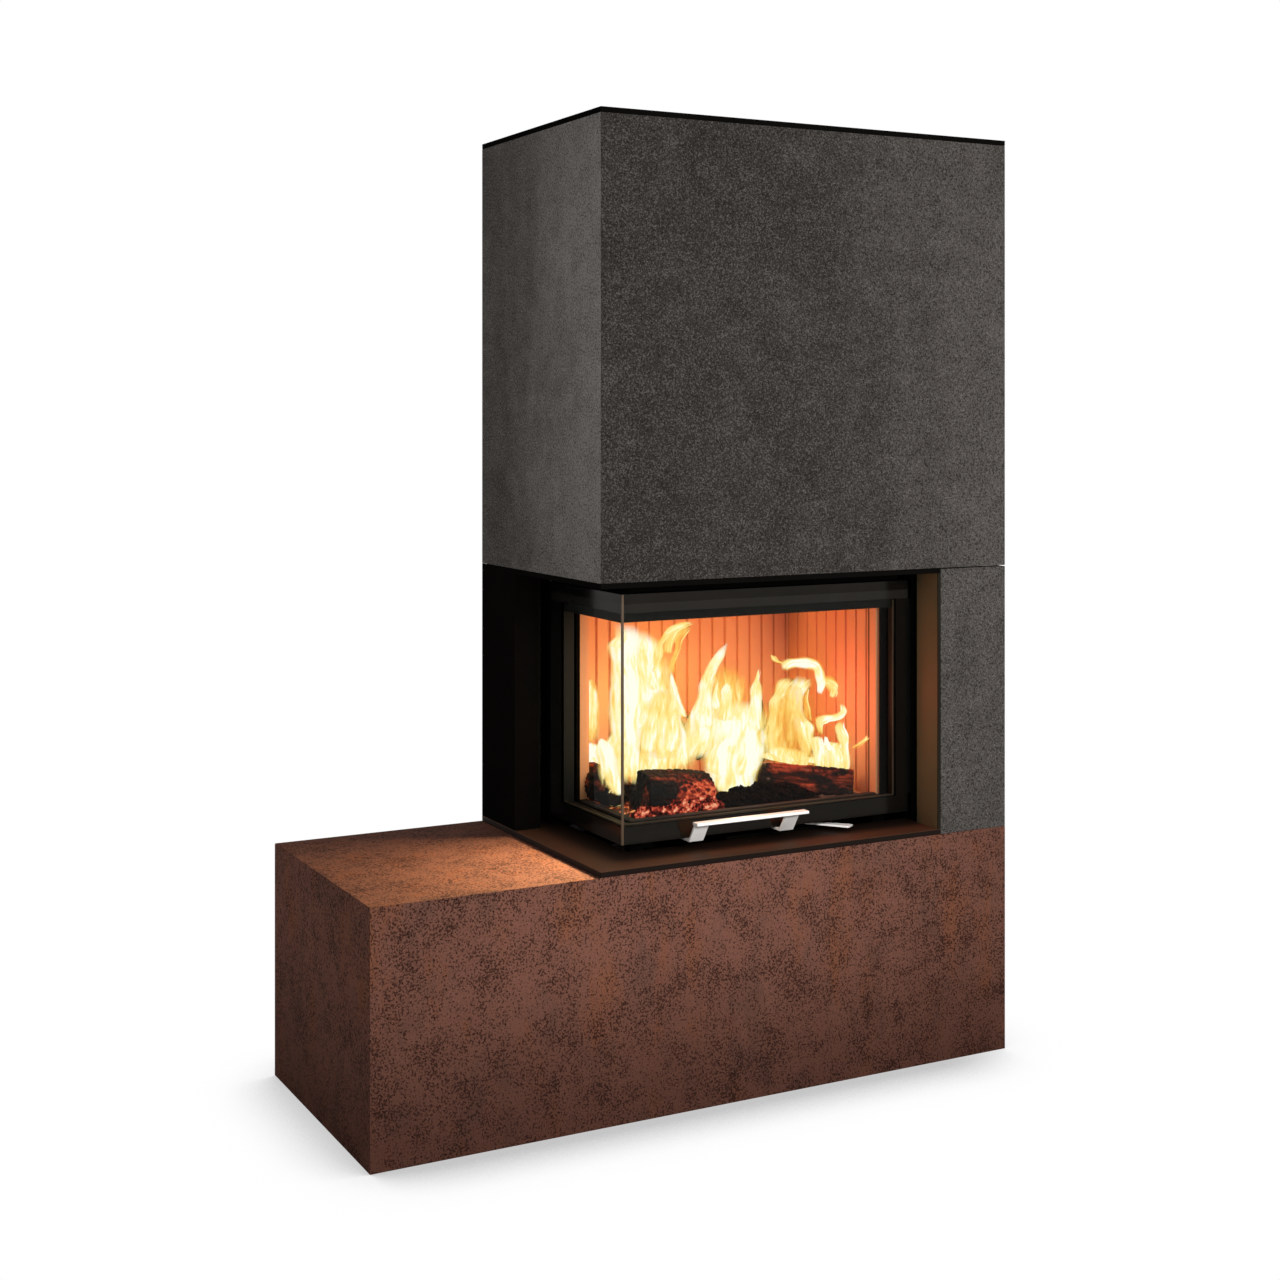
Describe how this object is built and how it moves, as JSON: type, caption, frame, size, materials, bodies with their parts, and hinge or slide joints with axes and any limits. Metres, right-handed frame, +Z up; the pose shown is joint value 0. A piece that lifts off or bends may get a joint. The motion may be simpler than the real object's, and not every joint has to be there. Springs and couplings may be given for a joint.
{
  "type": "corner fireplace",
  "caption": "Corner fireplace clad in ceramic boards, with a side bench, a two-sided lifting glass door, a lined firebox, rear flue and air connections.",
  "frame": {"origin": "middle of the footprint, on the floor", "axes": "+X to the right seen from the front, +Y into the wall behind, +Z up"},
  "size_m": [1.472, 0.59, 2],
  "materials": {
    "rust_ceramic": "rust-coloured large-format ceramic on fire board, matt with dark speckle",
    "grey_ceramic": "dark iron-grey large-format ceramic on fire board, matt and cloudy",
    "fire_board": "calcium silicate board, chalky",
    "black_steel": "heat-resistant black paint on steel, satin",
    "bronze_steel": "dark bronze powder coat on steel, satin",
    "zinc_steel": "galvanised steel",
    "stainless": "brushed stainless steel",
    "fireclay": "ribbed fireclay, matt",
    "cast_iron": "cast, matt",
    "ceramic_glass": "clear ceramic glass with a black printed border",
    "rope_seal": "braided glass-fibre rope",
    "charred_wood": "split logs, charred"
  },
  "bodies": {
    "root": {"base_front_panel": "rust_ceramic", "base_left_panel": "rust_ceramic", "base_right_panel": "rust_ceramic", "base_back_panel": "fire_board", "bench_top_panel": "rust_ceramic", "pillar_front_panel": "grey_ceramic", "pillar_side_panel": "grey_ceramic", "lower_back_panel": "fire_board", "hood_front_panel": "grey_ceramic", "hood_left_panel": "grey_ceramic", "hood_right_panel": "grey_ceramic", "hood_back_panel": "fire_board", "hood_top_plate": "black_steel", "base_frame": "zinc_steel", "tower_frame": "zinc_steel", "hearth_board": "fire_board", "hearth_tray": "bronze_steel", "lintel_plate": "black_steel", "right_reveal": "bronze_steel", "left_cheek": "black_steel", "firebox_stand": "black_steel", "firebox_body": "black_steel", "face_frame": "black_steel", "lining_back": "fireclay", "lining_right": "fireclay", "lining_left_rear": "fireclay", "hearth_floor": "fireclay", "ember_sill": "cast_iron", "baffle_lower": "fireclay", "baffle_upper": "fireclay", "flue_dome": "cast_iron", "flue_elbow": "black_steel", "flue_collar": "black_steel", "air_duct": "zinc_steel", "air_inlet_collar": "zinc_steel", "air_box": "black_steel", "guide_rail_left": "black_steel", "guide_rail_right": "black_steel", "pulley_bracket_left": "zinc_steel", "pulley_bracket_right": "zinc_steel", "cable_left": "zinc_steel", "cable_right": "zinc_steel", "log_left": "charred_wood", "log_centre": "charred_wood", "log_right": "charred_wood"},
    "door": {"glass_front": "ceramic_glass", "glass_side": "ceramic_glass", "corner_strip": "stainless", "door_frame": "black_steel", "door_seal": "rope_seal", "door_handle": "stainless", "lift_bracket_left": "black_steel", "lift_bracket_right": "black_steel"},
    "weight": {"counterweight": "cast_iron"},
    "wheel_left": {"pulley_left": "cast_iron"},
    "wheel_right_front": {"pulley_right_front": "cast_iron"},
    "wheel_right_rear": {"pulley_right_rear": "cast_iron"},
    "air_control": {"air_lever": "stainless", "air_damper": "black_steel"}
  },
  "joints": [
    {"name": "door_lift", "type": "slide", "parent": "root", "child": "door", "axis": [0, 0, 1], "range_m": [0, 0.455], "deforming": ["cable_left", "cable_right"]},
    {"name": "weight_drop", "type": "slide", "parent": "root", "child": "weight", "axis": [0, 0, 1], "range_m": [-0.457, 0.002], "deforming": ["cable_left", "cable_right"]},
    {"name": "left_wheel_turn", "type": "hinge", "parent": "root", "child": "wheel_left", "pos_m": [-0.149, 0.2145, 1.59], "axis": [1, 0, 0], "range_deg": [-615, 2]},
    {"name": "right_front_wheel_turn", "type": "hinge", "parent": "root", "child": "wheel_right_front", "pos_m": [0.572, -0.1405, 1.59], "axis": [1, 0, 0], "range_deg": [-615, 2]},
    {"name": "right_rear_wheel_turn", "type": "hinge", "parent": "root", "child": "wheel_right_rear", "pos_m": [0.572, 0.2145, 1.59], "axis": [1, 0, 0], "range_deg": [-615, 2]},
    {"name": "air_lever_swing", "type": "hinge", "parent": "root", "child": "air_control", "pos_m": [0.299, -0.137, 0.513], "axis": [0, 0, 1], "range_deg": [-55, 0]}
  ],
  "couplings": [
    {"joint": "weight_drop", "follows": "door_lift", "ratio": -1},
    {"joint": "left_wheel_turn", "follows": "door_lift", "rad_per_m": -23.529},
    {"joint": "right_front_wheel_turn", "follows": "door_lift", "rad_per_m": -23.529},
    {"joint": "right_rear_wheel_turn", "follows": "door_lift", "rad_per_m": -23.529}
  ]
}
